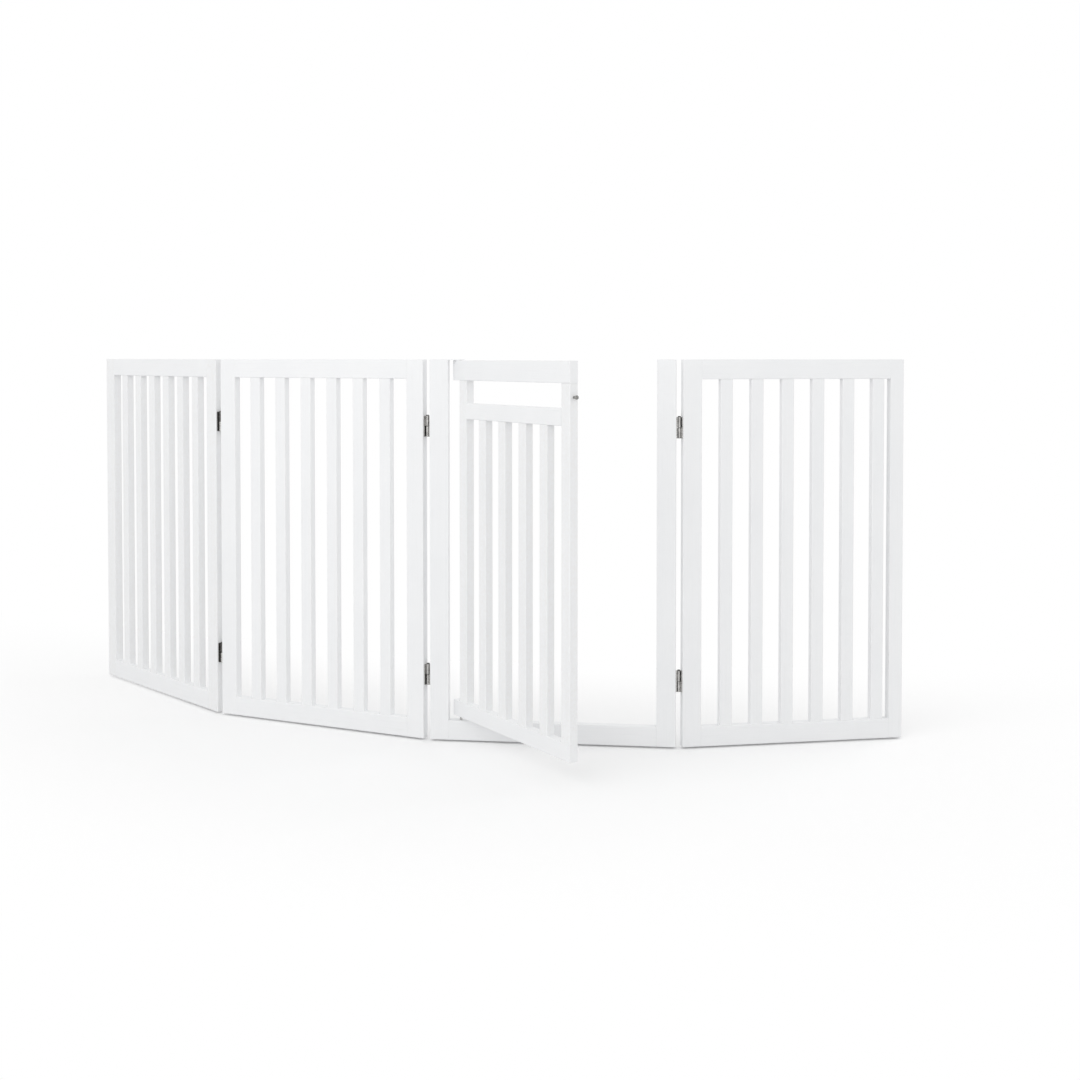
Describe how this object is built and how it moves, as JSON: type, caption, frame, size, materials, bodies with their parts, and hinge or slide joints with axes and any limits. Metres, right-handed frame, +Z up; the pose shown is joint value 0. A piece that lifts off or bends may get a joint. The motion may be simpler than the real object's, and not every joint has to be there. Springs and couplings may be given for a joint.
{
  "type": "folding pet gate",
  "caption": "Free-standing folding pet gate of white painted wood: slatted panels joined by steel hinges, and a doorway panel with a swing door on pivot pins and a latch stud.",
  "frame": {"origin": "on the floor, in the middle of the underside of the doorway's threshold", "axes": "+X runs along the doorway panel to the viewer's right, +Y away from the viewer, +Z up; the door stands open towards -Y"},
  "size_m": [1.9115, 0.7864, 0.8],
  "materials": {
    "white_paint": "satin white paint over solid wood",
    "hinge_steel": "zinc-plated steel, dulled",
    "bright_steel": "bright turned steel",
    "white_strap": "white coated steel",
    "magnet": "nickel-plated magnet"
  },
  "bodies": {
    "doorway": {"doorway_stile_left": "white_paint", "doorway_stile_right": "white_paint", "doorway_threshold": "white_paint", "hinge_2_3_leaves_right": "hinge_steel", "hinge_2_3_pins": "hinge_steel", "hinge_3_4_leaves_left": "hinge_steel", "screws_doorway": "hinge_steel", "pivot_pin_lower": "bright_steel", "pivot_strap": "white_strap", "pivot_pin_upper": "bright_steel", "latch_magnet": "magnet"},
    "panel_2": {"panel_2_bottom_rail": "white_paint", "panel_2_slat_1": "white_paint", "panel_2_slat_2": "white_paint", "panel_2_slat_3": "white_paint", "panel_2_slat_4": "white_paint", "panel_2_slat_5": "white_paint", "panel_2_slat_6": "white_paint", "panel_2_stile_left": "white_paint", "panel_2_stile_right": "white_paint", "panel_2_top_rail": "white_paint", "hinge_1_2_leaves_right": "hinge_steel", "hinge_1_2_pins": "hinge_steel", "hinge_2_3_leaves_left": "hinge_steel", "screws_panel_2": "hinge_steel"},
    "panel_1": {"panel_1_bottom_rail": "white_paint", "panel_1_slat_1": "white_paint", "panel_1_slat_2": "white_paint", "panel_1_slat_3": "white_paint", "panel_1_slat_4": "white_paint", "panel_1_slat_5": "white_paint", "panel_1_slat_6": "white_paint", "panel_1_stile_left": "white_paint", "panel_1_stile_right": "white_paint", "panel_1_top_rail": "white_paint", "hinge_1_2_leaves_left": "hinge_steel", "screws_panel_1": "hinge_steel"},
    "panel_4": {"panel_4_bottom_rail": "white_paint", "panel_4_slat_1": "white_paint", "panel_4_slat_2": "white_paint", "panel_4_slat_3": "white_paint", "panel_4_slat_4": "white_paint", "panel_4_slat_5": "white_paint", "panel_4_slat_6": "white_paint", "panel_4_stile_left": "white_paint", "panel_4_stile_right": "white_paint", "panel_4_top_rail": "white_paint", "hinge_3_4_leaves_right": "hinge_steel", "hinge_3_4_pins": "hinge_steel", "screws_panel_4": "hinge_steel"},
    "door": {"door_bottom_rail": "white_paint", "door_hinge_upright": "white_paint", "door_latch_stile": "white_paint", "door_middle_rail": "white_paint", "door_slat_1": "white_paint", "door_slat_2": "white_paint", "door_slat_3": "white_paint", "door_slat_4": "white_paint", "door_top_rail": "white_paint", "latch_stud": "bright_steel"}
  },
  "joints": [
    {"name": "fold_2_3", "type": "hinge", "parent": "doorway", "child": "panel_2", "pos_m": [-0.263, 0, 0.4], "axis": [0, 0, 1], "range_deg": [-43.5, 76.5]},
    {"name": "fold_1_2", "type": "hinge", "parent": "panel_2", "child": "panel_1", "pos_m": [-0.76734, 0.14939, 0.4], "axis": [0, 0, 1], "range_deg": [-38.2, 81.8]},
    {"name": "fold_3_4", "type": "hinge", "parent": "doorway", "child": "panel_4", "pos_m": [0.263, 0, 0.4], "axis": [0, 0, 1], "range_deg": [-75.7, 44.3]},
    {"name": "door_swing", "type": "hinge", "parent": "doorway", "child": "door", "pos_m": [-0.1925, 0, 0.4], "axis": [0, 0, 1], "range_deg": [-41.7, 138.3]}
  ]
}
